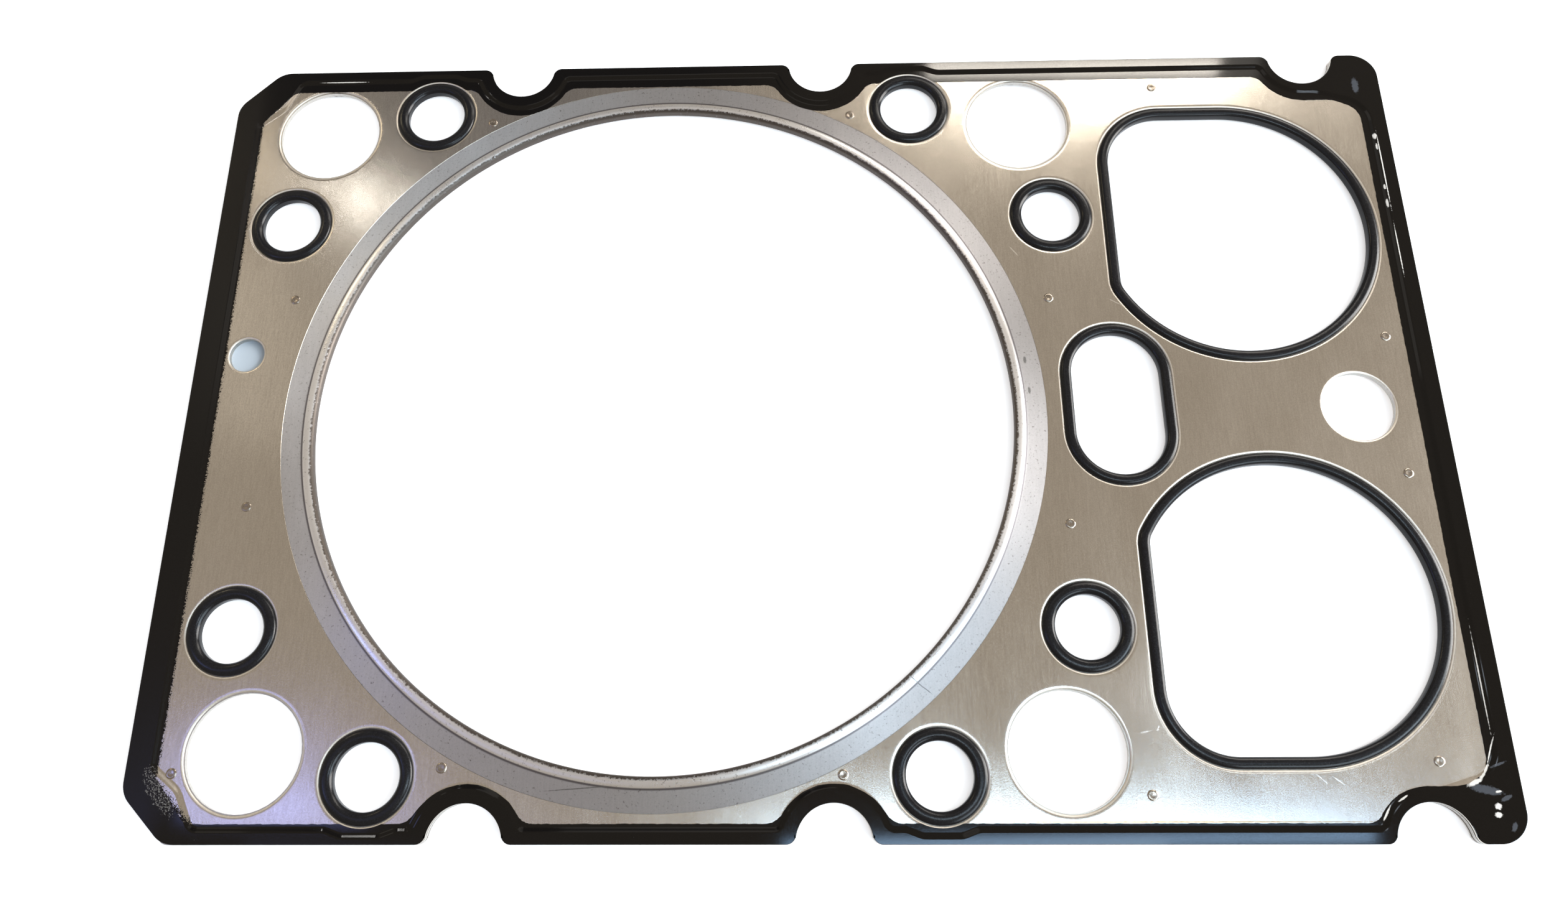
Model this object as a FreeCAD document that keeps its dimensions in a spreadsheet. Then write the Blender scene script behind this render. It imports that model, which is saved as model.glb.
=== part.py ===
import FreeCAD, Part

import math
import os

import Sketcher

# Cylinder head gasket for one cylinder of a large diesel engine, lying flat.
# Origin: the cylinder bore's axis, half way through the carrier plate.
# +X runs along the engine towards the push-rod windows, +Z towards the cylinder head.

os.makedirs("parts", exist_ok=True)
doc = FreeCAD.newDocument("HeadGasket")
origin = FreeCAD.Vector(0, 0, 0)
up = FreeCAD.Vector(0, 0, 1)

SIZES = [
    ("bore_radius", 64.0, "cylinder bore inside the fire ring"),
    ("roll_width", 1.9, "rolled edge of the fire ring, across"),
    ("roll_proud", 0.31, "rolled edge above the cover sheet"),
    ("roll_corner", 0.6, "rounding of the rolled edge"),
    ("flange_width", 3.95, "fire ring's flat flange, outside the roll"),
    ("eyelet_wall", 0.25, "fire ring's sheet thickness"),
    ("wire_gap", 0.08, "clearance round the wire in the rolled edge"),
    ("edge_margin", 4.8, "fire ring's flange to either long edge"),
    ("left_margin", 19.3, "head bolt's axis to the left edge"),
    ("corner_cut", 8.0, "chamfer on both left corners"),
    ("corner_cut_blend", 2.0, "rounding at both ends of a chamfer"),
    ("tab_corner", 5.0, "rounding of both right corners"),
    ("notch_radius", 6.3, "half-round notches in the long edges"),
    ("notch_inset", 0.15, "notch centres inside the long edges"),
    ("notch_mouth", 1.7, "rounding where a notch meets the edge"),
    ("first_notch_gap", 17.1, "edge ring seal's axis to the first notch, along"),
    ("second_notch_gap", 17.5, "the same to the second notch"),
    ("third_notch_inset", 14.85, "right edge to the third notch"),
    ("bolt_gap", 21.43, "fire ring's flange to a head bolt's axis"),
    ("bolt_inset", 14.55, "long edge to a head bolt's axis"),
    ("bolt_hole_radius", 9.85, "head bolt holes in the carrier"),
    ("bolt_cover_gap", 0.2, "extra radius of those holes in the cover sheets"),
    ("near_ring_gap", 9.85, "fire ring's flange to the axis of a ring seal by the edge"),
    ("near_ring_inset", 10.65, "long edge to that axis"),
    ("far_ring_gap", 13.93, "fire ring's flange to the axis of one of the other ring seals"),
    ("far_ring_drop", 20.45, "head bolt's axis to that axis, across"),
    ("ring_hole_radius", 7.85, "holes in the cover sheets for the ring seals"),
    ("side_hole_inset", 14.95, "right edge to the side bolt's hole"),
    ("side_hole_across", -0.25, "bore axis to the side bolt's hole, across"),
    ("side_hole_radius", 6.5, "side bolt's hole"),
    ("oil_hole_inset", 9.3, "left edge to the oil hole"),
    ("oil_hole_across", 12.2, "bore axis to the oil hole, across"),
    ("oil_hole_radius", 3.3, "oil hole"),
    ("slot_gap", 3.0, "fire ring's flange to the slot"),
    ("slot_radius", 10.1, "half the slot's width in the cover sheets"),
    ("slot_upper_gap", 1.48, "slot's rounded end to the upper window"),
    ("slot_lower_gap", 3.02, "slot's rounded end to the lower window"),
    ("window_gap", 2.1, "ring seal's hole to a window's straight side"),
    ("window_inset", 11.5, "side of the gasket to a window's round side, across"),
    ("window_radius", 27.15, "round side of a window in the cover sheets"),
    ("window_trim", 2.8, "what the straight side takes off the round form"),
    ("window_corner", 13.0, "window's outer corner"),
    ("window_blend", 6.0, "rounding where the straight side meets the round one"),
    ("window_margin", 5.5, "window's round side to the right edge"),
    ("carrier_thickness", 0.8, "carrier plate"),
    ("cover_thickness", 0.25, "each cover sheet"),
    ("bead_rise", 0.25, "height of the half-bead"),
    ("bead_run", 0.9, "width of the half-bead's slope"),
    ("bead_inset", 2.35, "half-bead's middle to a long edge"),
    ("bead_inset_left", 4.6, "half-bead's middle to the left edge"),
    ("bead_inset_right", 3.1, "half-bead's middle to the right edge"),
    ("bead_round_notch", 2.7, "half-bead's middle to a notch's edge"),
    ("bead_round_third", 1.9, "the same at the third notch"),
    ("bead_lean", 25.0, "degrees that the half-bead leans from upright as it leaves a notch"),
    ("bead_mouth", 1.5, "bend of the half-bead at a notch's mouth"),
    ("bead_jog", 1.0, "outward jog of the half-bead past a ring seal"),
    ("bead_jog_foot", 5.9, "ring seal's axis to the jog's foot, along"),
    ("bead_jog_top", 3.2, "ring seal's axis to the jog's top, along"),
    ("bead_jog_bend", 3.0, "bends of the jog"),
    ("bead_corner_past", 2.3, "half-bead's left corner past the bolt's axis, across"),
    ("bead_corner_bend", 1.5, "bend at that corner"),
    ("bead_waist_along", 10.3, "bolt's axis to the bend round the bolt, along"),
    ("bead_waist_across", 6.4, "the same, across"),
    ("bead_waist_bend", 6.0, "bend round the bolt"),
    ("bead_turn_along", 6.95, "bolt's axis to the half-bead's turn into the long side"),
    ("bead_turn_bend", 2.0, "bend at that turn"),
    ("bead_tab_along", 2.2, "third notch's axis to the half-bead's bend, along"),
    ("bead_tab_bend", 8.0, "bend there"),
    ("bead_tab_drop", 2.9, "fall of the half-bead from there to the right side"),
    ("bead_tab_turn", 5.5, "bend into the right side"),
    ("coating_thickness", 0.06, "printed rubber coating"),
    ("coating_inset", 3.9, "coating's inner edge to a long edge"),
    ("coating_inset_left", 5.5, "coating's inner edge to the left edge"),
    ("coating_inset_right", 4.65, "coating's inner edge to the right edge"),
    ("coating_round_notch", 3.7, "coating's inner edge to a notch's edge"),
    ("coating_round_third", 3.1, "the same at the third notch"),
    ("coating_lean", 35.0, "degrees that the coating's edge leans as it leaves a notch"),
    ("coating_mouth", 3.0, "bend of the coating's edge at a notch's mouth"),
    ("coating_corner_past", 2.5, "coating's left corner past the bolt's axis, across"),
    ("coating_turn_along", 8.0, "bolt's axis to the coating's turn into the long side"),
    ("coating_turn_bend", 2.0, "bends at both"),
    ("coating_tab_along", 5.5, "third notch's axis to the coating's bend, along"),
    ("coating_tab_bend", 6.0, "bend there"),
    ("coating_tab_drop", 2.2, "fall of the coating's edge from there to the right side"),
    ("coating_tab_turn", 4.0, "bend into the right side"),
    ("coating_slip", -0.65, "the print sits this far across from the stamping"),
    ("coating_ring_gap", 0.3, "bare rim left round a ring seal's hole"),
    ("seal_gap", 0.05, "clearance between a seal and the sheet round it"),
    ("seal_key", 0.5, "depth that the carrier reaches into a seal"),
    ("seal_band", 2.2, "width of a ring seal's rubber"),
    ("seal_band_wide", 2.0, "width of the slot and window seals' rubber"),
    ("seal_proud", 0.45, "top of a seal above the cover sheet"),
    ("seal_lip", 0.2, "upright edge of a ring seal above the carrier, below its rounded lip"),
    ("seal_round", 0.85, "rounding of the slot and window seals' lips"),
    ("edge_gap", 0.05, "gap between the cover sheets and the fire ring's flange"),
    ("carrier_bore_gap", 0.2, "gap between the carrier and the rolled edge"),
    ("rivet_radius", 0.75, "rivet shank"),
    ("rivet_hole_gap", 0.05, "clearance round a rivet shank"),
    ("rivet_head_radius", 0.9, "rivet head"),
    ("rivet_head_height", 0.15, "rivet head above the sheet"),
]

# Places worked out from the sizes, each an expression.
LAYOUT = [
    ("flange_radius", "Sizes.bore_radius + Sizes.roll_width + Sizes.flange_width"),
    ("half_width", "Layout.flange_radius + Sizes.edge_margin"),
    ("notch_line", "Layout.half_width - Sizes.notch_inset"),
    ("bolt_across", "Layout.half_width - Sizes.bolt_inset"),
    ("bolt_along", "sqrt((Layout.flange_radius + Sizes.bolt_gap)^2 - Layout.bolt_across^2)"),
    ("left_reach", "Layout.bolt_along + Sizes.left_margin"),
    ("near_ring_across", "Layout.half_width - Sizes.near_ring_inset"),
    (
        "near_ring_along",
        "sqrt((Layout.flange_radius + Sizes.near_ring_gap)^2 - Layout.near_ring_across^2)",
    ),
    ("far_ring_across", "Layout.bolt_across - Sizes.far_ring_drop"),
    (
        "far_ring_along",
        "sqrt((Layout.flange_radius + Sizes.far_ring_gap)^2 - Layout.far_ring_across^2)",
    ),
    ("window_side", "Layout.far_ring_along + Sizes.ring_hole_radius + Sizes.window_gap"),
    ("window_along", "Layout.window_side + Sizes.window_radius - Sizes.window_trim"),
    ("window_across", "Layout.half_width - Sizes.window_inset - Sizes.window_radius"),
    ("right_reach", "Layout.window_along + Sizes.window_radius + Sizes.window_margin"),
    ("slot_along", "Layout.flange_radius + Sizes.slot_gap + Sizes.slot_radius"),
    ("first_notch", "-Layout.near_ring_along + Sizes.first_notch_gap"),
    ("second_notch", "Layout.near_ring_along - Sizes.second_notch_gap"),
    ("third_notch", "Layout.right_reach - Sizes.third_notch_inset"),
    ("side_hole_along", "Layout.right_reach - Sizes.side_hole_inset"),
    ("oil_hole_along", "-Layout.left_reach + Sizes.oil_hole_inset"),
]

# Rivets, along and across, each placed from the hole nearest to it.
RIVETS = [
    ("-Layout.near_ring_along + 11.6", "Layout.near_ring_across - 1.8"),
    ("-Layout.far_ring_along + 2.9", "Layout.far_ring_across - 16.15"),
    ("-Layout.far_ring_along - 0.6", "-Layout.far_ring_across + 22.25"),
    ("-Layout.bolt_along - 11.6", "-Layout.bolt_across - 3.3"),
    ("-Layout.near_ring_along + 12.5", "-Layout.near_ring_across + 1.4"),
    ("Layout.near_ring_along - 15.9", "-Layout.near_ring_across + 0.2"),
    ("Layout.bolt_along + 13.0", "-Layout.bolt_across - 7.0"),
    ("Layout.third_notch + 2.6", "-Layout.window_across - 25.9"),
    ("Layout.side_hole_along + 6.5", "Sizes.side_hole_across - 12.65"),
    ("Layout.side_hole_along + 7.0", "Sizes.side_hole_across + 13.65"),
    ("Layout.window_along - 12.1", "Layout.bolt_across + 7.8"),
    ("Layout.near_ring_along - 11.8", "Layout.near_ring_across - 1.3"),
    ("Layout.far_ring_along - 1.9", "Layout.far_ring_across - 17.65"),
    ("Layout.far_ring_along - 1.5", "-Layout.far_ring_across + 18.05"),
]

# Lengths below this count as none.
SHORTEST = 1e-6

sheet = doc.addObject("Spreadsheet::Sheet", "Sizes")
for row, (alias, value, note) in enumerate(SIZES, start=1):
    sheet.set(f"A{row}", note)
    sheet.set(f"B{row}", str(value))
    sheet.setAlias(f"B{row}", alias)
doc.recompute()

layout = doc.addObject("App::VarSet", "Layout")
for name, expression in LAYOUT:
    layout.addProperty("App::PropertyFloat", name)
    layout.setExpression(name, expression)
doc.recompute()


def size(alias):
    return float(sheet.get(alias))


def place(name):
    return getattr(layout, name)


# Heights, as expressions in the sheet's own names.
CARRIER_TOP = "Sizes.carrier_thickness / 2"
COVER_TOP = f"{CARRIER_TOP} + Sizes.cover_thickness"
FLANGE_TOP = f"{COVER_TOP} + Sizes.bead_rise"
COATING_TOP = f"{FLANGE_TOP} + Sizes.coating_thickness"


def new_body(label):
    body = doc.addObject("PartDesign::Body", label)
    body.Label = label
    return body


def origin_feature(body, role):
    return next(part for part in body.Origin.OriginFeatures if part.Role == role)


def new_sketch(body, name, height="0", plane="XY_Plane"):
    sketch = body.newObject("Sketcher::SketchObject", name)
    sketch.AttachmentSupport = [(origin_feature(body, plane), "")]
    sketch.MapMode = "FlatFace"
    sketch.setExpression("AttachmentOffset.Base.z", height)
    return sketch


def pin_to_origin(sketch, geometry, point, along, across):
    """Fix a point of the sketch at the expressions along and across."""
    x = sketch.addConstraint(Sketcher.Constraint("DistanceX", -1, 1, geometry, point, 1.0))
    sketch.setExpression(f"Constraints[{x}]", along)
    y = sketch.addConstraint(Sketcher.Constraint("DistanceY", -1, 1, geometry, point, 1.0))
    sketch.setExpression(f"Constraints[{y}]", across)


def circles_sketch(body, name, circles, height="0"):
    """Circles given as (radius, along, across), each an expression."""
    sketch = new_sketch(body, name, height)
    for radius, along, across in circles:
        circle = sketch.addGeometry(Part.Circle(origin, up, 5.0))
        bound = sketch.addConstraint(Sketcher.Constraint("Radius", circle, 5.0))
        sketch.setExpression(f"Constraints[{bound}]", radius)
        pin_to_origin(sketch, circle, 3, along, across)
    return sketch


def loop_sketch(body, name, edges, height="0", plane="XY_Plane"):
    sketch = new_sketch(body, name, height, plane)
    for edge in edges:
        sketch.addGeometry(edge)
    return sketch


def pad(body, sketch, name, length, midplane=False):
    feature = body.newObject("PartDesign::Pad", name)
    feature.Profile = sketch
    feature.Midplane = midplane
    feature.setExpression("Length", length)
    doc.recompute()
    return feature


def pocket_through(body, sketch, name):
    """Cut the sketch's outlines through the whole body, both ways."""
    before = body.Shape.Volume
    feature = body.newObject("PartDesign::Pocket", name)
    feature.Profile = sketch
    feature.Type = "ThroughAll"
    feature.Midplane = True
    doc.recompute()
    if body.Shape.Volume >= before:
        raise ValueError(f"{name} of {body.Label} cuts nothing")
    return feature


def loft(body, kind, lower, upper, name):
    feature = body.newObject(f"PartDesign::{kind}Loft", name)
    feature.Profile = lower
    feature.Sections = [upper]
    feature.Ruled = True
    doc.recompute()
    return feature


def point(x, y):
    return FreeCAD.Vector(x, y, 0)


def toward(start, end):
    dx = end[0] - start[0]
    dy = end[1] - start[1]
    length = math.hypot(dx, dy)
    return dx / length, dy / length


def corner_turn(before, here, after):
    """Directions into and out of a corner, and its turn: negative to the right."""
    first = toward(before, here)
    second = toward(here, after)
    cross = first[0] * second[1] - first[1] * second[0]
    dot = first[0] * second[0] + first[1] * second[1]
    return first, second, math.atan2(cross, dot)


def neighbours(corners):
    for index, here in enumerate(corners):
        yield corners[index - 1], here, corners[(index + 1) % len(corners)]


def moved_out(corners, shift):
    """A clockwise chain of corners (x, y, radius) moved outwards, with its arcs kept parallel."""
    moved = []
    for before, here, after in neighbours(corners):
        first, second, turn = corner_turn(before, here, after)
        scale = shift / (1 + math.cos(turn))
        x = here[0] - scale * (first[1] + second[1])
        y = here[1] + scale * (first[0] + second[0])
        radius = here[2] + shift if turn < 0 else here[2] - shift
        moved.append((x, y, radius))
    return moved


def rounded(corners):
    """The lines and tangent arcs of a closed chain of corners (x, y, radius)."""
    arcs = []
    for before, here, after in neighbours(corners):
        first, second, turn = corner_turn(before, here, after)
        reach = here[2] * math.tan(abs(turn) / 2)
        start = point(here[0] - first[0] * reach, here[1] - first[1] * reach)
        end = point(here[0] + second[0] * reach, here[1] + second[1] * reach)
        bulge = here[2] * (1 / math.cos(turn / 2) - 1)
        inward = point(second[0] - first[0], second[1] - first[1]).normalize()
        middle = point(here[0], here[1]) + inward * bulge
        arcs.append((start, middle, end))
    edges = []
    for index, (start, middle, end) in enumerate(arcs):
        last_end = arcs[index - 1][2]
        if (start - last_end).Length > SHORTEST:
            edges.append(Part.LineSegment(last_end, start))
        if (end - start).Length > SHORTEST:
            edges.append(Part.Arc(start, middle, end))
    return edges


def notch_dip(along, radius, level, mouth, lean):
    """Corners of a dip round a notch, from the left: it leaves the level at the mouth,
    runs down a line that leans by an angle, and follows an arc round the notch's centre."""
    line = place("notch_line")
    angle = math.radians(lean)
    side = radius / math.cos(angle) - (line - level) * math.tan(angle)
    foot = radius / math.cos(angle) - radius * math.tan(angle)
    left = [(along - side, level, mouth), (along - foot, line - radius, radius)]
    right = [(along + foot, line - radius, radius), (along + side, level, mouth)]
    return left, right


def mirrored(half):
    """Close the chain for the +Y half with its mirror image."""
    return half + [(x, -y, radius) for x, y, radius in reversed(half)]


def ring_jog(along, level):
    """Corners of the half-bead's jog past a ring seal, from the left."""
    foot = size("bead_jog_foot")
    top = size("bead_jog_top")
    bend = size("bead_jog_bend")
    raised = level + size("bead_jog")
    return [
        (along - foot, level, bend),
        (along - top, raised, bend),
        (along + top, raised, bend),
        (along + foot, level, bend),
    ]


def bead_corners():
    """Middle line of the half-bead, clockwise from the left."""
    left = -place("left_reach") + size("bead_inset_left")
    right = place("right_reach") - size("bead_inset_right")
    level = place("half_width") - size("bead_inset")
    bolt_x = -place("bolt_along")
    bolt_y = place("bolt_across")
    ring = place("near_ring_along")
    mouth = size("bead_mouth")
    lean = size("bead_lean")
    radius = size("notch_radius") + size("bead_round_notch")
    waist_x = bolt_x - size("bead_waist_along")
    half = [
        (left, bolt_y + size("bead_corner_past"), size("bead_corner_bend")),
        (waist_x, bolt_y + size("bead_waist_across"), size("bead_waist_bend")),
        (bolt_x - size("bead_turn_along"), level, size("bead_turn_bend")),
    ]
    first = notch_dip(place("first_notch"), radius, level, mouth, lean)
    second = notch_dip(place("second_notch"), radius, level, mouth, lean)
    half += ring_jog(-ring, level) + first[0] + first[1]
    half += second[0] + second[1] + ring_jog(ring, level)
    third_x = place("third_notch")
    third = size("notch_radius") + size("bead_round_third")
    bottom = place("notch_line") - third
    half += notch_dip(third_x, third, level, mouth, lean)[0]
    half += [
        (third_x + size("bead_tab_along"), bottom, size("bead_tab_bend")),
        (right, bottom - size("bead_tab_drop"), size("bead_tab_turn")),
    ]
    return mirrored(half)


def coating_corners():
    """Inner edge of the printed coating, clockwise from the left."""
    left = -place("left_reach") + size("coating_inset_left")
    right = place("right_reach") - size("coating_inset_right")
    level = place("half_width") - size("coating_inset")
    mouth = size("coating_mouth")
    lean = size("coating_lean")
    bend = size("coating_turn_bend")
    radius = size("notch_radius") + size("coating_round_notch")
    half = [
        (left, place("bolt_across") + size("coating_corner_past"), bend),
        (-place("bolt_along") - size("coating_turn_along"), level, bend),
    ]
    for name in ("first_notch", "second_notch"):
        dip = notch_dip(place(name), radius, level, mouth, lean)
        half += dip[0] + dip[1]
    third_x = place("third_notch")
    third = size("notch_radius") + size("coating_round_third")
    bottom = place("notch_line") - third
    half += notch_dip(third_x, third, level, mouth, lean)[0]
    half += [
        (third_x + size("coating_tab_along"), bottom, size("coating_tab_bend")),
        (right, bottom - size("coating_tab_drop"), size("coating_tab_turn")),
    ]
    slip = size("coating_slip")
    return [(x, y + slip, bend) for x, y, bend in mirrored(half)]


def window_edges(side, shift):
    """A D-shaped window's outline, moved outwards by shift: side is 1 for the +Y window."""
    x = place("window_along")
    y = side * place("window_across")
    big = size("window_radius") + shift
    straight = place("window_side") - shift
    corner = size("window_corner") + shift
    blend = size("window_blend") + shift
    far = y + side * big
    blend_x = straight + blend
    blend_y = y - side * math.sqrt((big - blend) ** 2 - (x - blend_x) ** 2)
    joint = (point(blend_x, blend_y) - point(x, y)).normalize()
    joint_end = point(x, y) + joint * big
    blend_middle = (joint + point(-1, 0)).normalize()
    corner_centre = point(straight + corner, far - side * corner)
    diagonal = point(-1, side).normalize()
    return [
        Part.LineSegment(point(straight + corner, far), point(x, far)),
        Part.Arc(point(x, far), point(x + big, y), joint_end),
        Part.Arc(joint_end, point(blend_x, blend_y) + blend_middle * blend, point(straight, blend_y)),
        Part.LineSegment(point(straight, blend_y), point(straight, far - side * corner)),
        Part.Arc(
            point(straight, far - side * corner),
            corner_centre + diagonal * corner,
            point(straight + corner, far),
        ),
    ]


def slot_end(gap):
    """Height of a slot's end centre, from the gap between the slot and that window."""
    reach = size("window_radius") + size("slot_radius") + size(gap)
    along = place("window_along") - place("slot_along")
    return place("window_across") - math.sqrt(reach**2 - along**2)


def slot_edges(shift):
    """The slot's outline, moved outwards by shift."""
    x = place("slot_along")
    radius = size("slot_radius") + shift
    top = slot_end("slot_upper_gap")
    low = -slot_end("slot_lower_gap")
    return [
        Part.Arc(point(x - radius, top), point(x, top + radius), point(x + radius, top)),
        Part.LineSegment(point(x + radius, top), point(x + radius, low)),
        Part.Arc(point(x + radius, low), point(x, low - radius), point(x - radius, low)),
        Part.LineSegment(point(x - radius, low), point(x - radius, top)),
    ]


def at_four(radius, along, across):
    """The same circle in all four quarters."""
    return [(radius, f"{sx}{along}", f"{sy}{across}") for sx in ("", "-") for sy in ("", "-")]


def ring_circles(radius):
    near = at_four(radius, "Layout.near_ring_along", "Layout.near_ring_across")
    far = at_four(radius, "Layout.far_ring_along", "Layout.far_ring_across")
    return near + far


def upright_edges(feature, places):
    """Names of the vertical edges that stand at the places (x, y)."""
    names = []
    for number, edge in enumerate(feature.Shape.Edges, start=1):
        box = edge.BoundBox
        if box.XLength > SHORTEST or box.YLength > SHORTEST:
            continue
        if any(math.hypot(box.XMin - x, box.YMin - y) < 0.05 for x, y in places):
            names.append(f"Edge{number}")
    if not names:
        raise ValueError(f"no upright edges on {feature.Label}")
    return names


def dress(body, kind, feature, places, name, setting, expression):
    """A chamfer or fillet on the upright edges at the places."""
    made = body.newObject(f"PartDesign::{kind}", name)
    made.Base = (feature, upright_edges(feature, places))
    made.setExpression(setting, expression)
    doc.recompute()
    return made


def notch_names():
    return ("first_notch", "second_notch", "third_notch")


def plate_outline(body, low, thickness):
    """The gasket's outer form as a slab: rectangle, notches, chamfers and rounded corners."""
    sketch = new_sketch(body, "Outline", low)
    corners = [point(-1, -1), point(1, -1), point(1, 1), point(-1, 1)]
    for start, end in zip(corners, corners[1:] + corners[:1]):
        sketch.addGeometry(Part.LineSegment(start, end))
    for line in range(4):
        sketch.addConstraint(Sketcher.Constraint("Coincident", line, 2, (line + 1) % 4, 1))
        kind = "Horizontal" if line % 2 == 0 else "Vertical"
        sketch.addConstraint(Sketcher.Constraint(kind, line))
    pin_to_origin(sketch, 0, 1, "-Layout.left_reach", "-Layout.half_width")
    pin_to_origin(sketch, 2, 1, "Layout.right_reach", "Layout.half_width")
    slab = pad(body, sketch, "Slab", thickness)
    notches = []
    for name in notch_names():
        for sign in ("", "-"):
            notches.append(("Sizes.notch_radius", f"Layout.{name}", f"{sign}Layout.notch_line"))
    cut = pocket_through(body, circles_sketch(body, "NotchCircles", notches, low), "Notches")
    left = -place("left_reach")
    right = place("right_reach")
    wide = place("half_width")
    narrow = wide - size("corner_cut")
    cut = dress(
        body, "Chamfer", cut, [(left, wide), (left, -wide)], "CornerCuts", "Size", "Sizes.corner_cut"
    )
    ends = [(left, narrow), (left, -narrow)]
    ends += [(left + size("corner_cut"), wide), (left + size("corner_cut"), -wide)]
    cut = dress(body, "Fillet", cut, ends, "CutBlends", "Radius", "Sizes.corner_cut_blend")
    tabs = [(right, wide), (right, -wide)]
    cut = dress(body, "Fillet", cut, tabs, "TabCorners", "Radius", "Sizes.tab_corner")
    rise = wide - place("notch_line")
    half_mouth = math.sqrt(size("notch_radius") ** 2 - rise**2)
    mouths = []
    for name in notch_names():
        for side in (-1, 1):
            for edge in (-1, 1):
                mouths.append((place(name) + side * half_mouth, edge * wide))
    return dress(body, "Fillet", cut, mouths, "NotchMouths", "Radius", "Sizes.notch_mouth")


def cut_oil_hole(body):
    """The oil hole, which the bottom cover sheet closes."""
    hole = ("Sizes.oil_hole_radius", "Layout.oil_hole_along", "Sizes.oil_hole_across")
    pocket_through(body, circles_sketch(body, "OilCircle", [hole]), "OilHole")


def cut_passages(body, ring_radius, bolt_radius, shift, bore):
    """Cut a layer's holes: shift moves the slot's and windows' outlines out or in."""
    holes = ring_circles(ring_radius)
    holes += at_four(bolt_radius, "Layout.bolt_along", "Layout.bolt_across")
    holes.append(("Sizes.side_hole_radius", "Layout.side_hole_along", "Sizes.side_hole_across"))
    holes.append((bore, "0", "0"))
    pocket_through(body, circles_sketch(body, "HoleCircles", holes), "Holes")
    openings = window_edges(1, shift) + window_edges(-1, shift) + slot_edges(shift)
    pocket_through(body, loop_sketch(body, "OpeningOutlines", openings), "Openings")
    shanks = [("Sizes.rivet_radius + Sizes.rivet_hole_gap", x, y) for x, y in RIVETS]
    pocket_through(body, circles_sketch(body, "RivetCircles", shanks), "RivetHoles")


def carrier_plate():
    body = new_body("carrier_plate")
    plate_outline(body, f"-({CARRIER_TOP})", "Sizes.carrier_thickness")
    bore = "Sizes.bore_radius + Sizes.roll_width + Sizes.carrier_bore_gap"
    ring = "Sizes.ring_hole_radius - Sizes.seal_gap - Sizes.seal_key"
    key = size("seal_gap") + size("seal_key")
    cut_passages(body, ring, "Sizes.bolt_hole_radius", -key, bore)
    cut_oil_hole(body)
    return body


def on_side(side, height):
    """A height's expression on one face of the gasket: side is empty above and - below."""
    return f"{side}({height})"


def slab_foot(side, low, high):
    """Lower of a slab's two heights once it is on its side of the gasket."""
    return on_side(side, high) if side else low


def bead_loft(body, kind, side, height_in, height_out, name):
    """The half-bead's frustum: its inner crease at one height, its outer crease at the next."""
    run = size("bead_run") / 2
    inner_edges = rounded(moved_out(bead_corners(), -run))
    outer_edges = rounded(moved_out(bead_corners(), run))
    inner = loop_sketch(body, f"{name}In", inner_edges, on_side(side, height_in))
    outer = loop_sketch(body, f"{name}Out", outer_edges, on_side(side, height_out))
    return loft(body, kind, inner, outer, name)


def cover_sheet(label, side):
    """A cover sheet: flat on the carrier inside the half-bead, raised off it outside."""
    body = new_body(label)
    bead_loft(body, "Additive", side, CARRIER_TOP, COVER_TOP, "Core")
    plate_outline(body, slab_foot(side, COVER_TOP, FLANGE_TOP), "Sizes.bead_rise")
    bead_loft(body, "Subtractive", side, COVER_TOP, FLANGE_TOP, "Recess")
    bore = "Layout.flange_radius + Sizes.edge_gap"
    bolt = "Sizes.bolt_hole_radius + Sizes.bolt_cover_gap"
    cut_passages(body, "Sizes.ring_hole_radius", bolt, 0, bore)
    return body


def edge_coating(label, side):
    """The printed rubber: over the raised edge, down the half-bead and a little way in."""
    body = new_body(label)
    bead_loft(body, "Additive", side, COVER_TOP, FLANGE_TOP, "Core")
    plate_outline(body, slab_foot(side, FLANGE_TOP, COATING_TOP), "Sizes.coating_thickness")
    skin = f"{COVER_TOP} + Sizes.coating_thickness"
    bead_loft(body, "Subtractive", side, skin, COATING_TOP, "Recess")
    pocket_through(body, loop_sketch(body, "PrintEdge", rounded(coating_corners())), "Print")
    rims = ring_circles("Sizes.ring_hole_radius + Sizes.coating_ring_gap")
    pocket_through(body, circles_sketch(body, "RimCircles", rims), "Rims")


def revolve(body, kind, edges, name):
    """Turn a section in the XZ plane about Z."""
    sketch = loop_sketch(body, f"{name}Section", edges, plane="XZ_Plane")
    feature = body.newObject(f"PartDesign::{kind}", name)
    feature.Profile = sketch
    feature.ReferenceAxis = (sketch, ["V_Axis"])
    feature.Angle = 360
    doc.recompute()


def section_box(inner, outer, half_height, corner=0):
    """A section symmetrical about the middle of the stack, clockwise, with rounded corners."""
    places = [(inner, -half_height), (inner, half_height), (outer, half_height), (outer, -half_height)]
    return rounded([(x, z, corner) for x, z in places])


def fire_ring():
    """Folded steel round the bore: a flange on each face of the carrier and a roll over a wire."""
    body = new_body("fire_ring")
    bore = size("bore_radius")
    wall = size("eyelet_wall")
    roll = bore + size("roll_width")
    flange = place("flange_radius")
    carrier = size("carrier_thickness") / 2
    crest = carrier + size("cover_thickness") + size("roll_proud")
    corner = size("roll_corner")
    middle = bore + size("roll_width") / 2
    revolve(body, "Revolution", section_box(bore, roll, crest, corner), "Roll")
    revolve(body, "Revolution", section_box(middle, flange, carrier + wall), "Flanges")
    revolve(body, "Groove", section_box(middle, flange + wall, carrier), "CarrierSlot")
    cavity = section_box(bore + wall, roll - wall, crest - wall, corner - wall)
    revolve(body, "Groove", cavity, "WireCavity")


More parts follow.
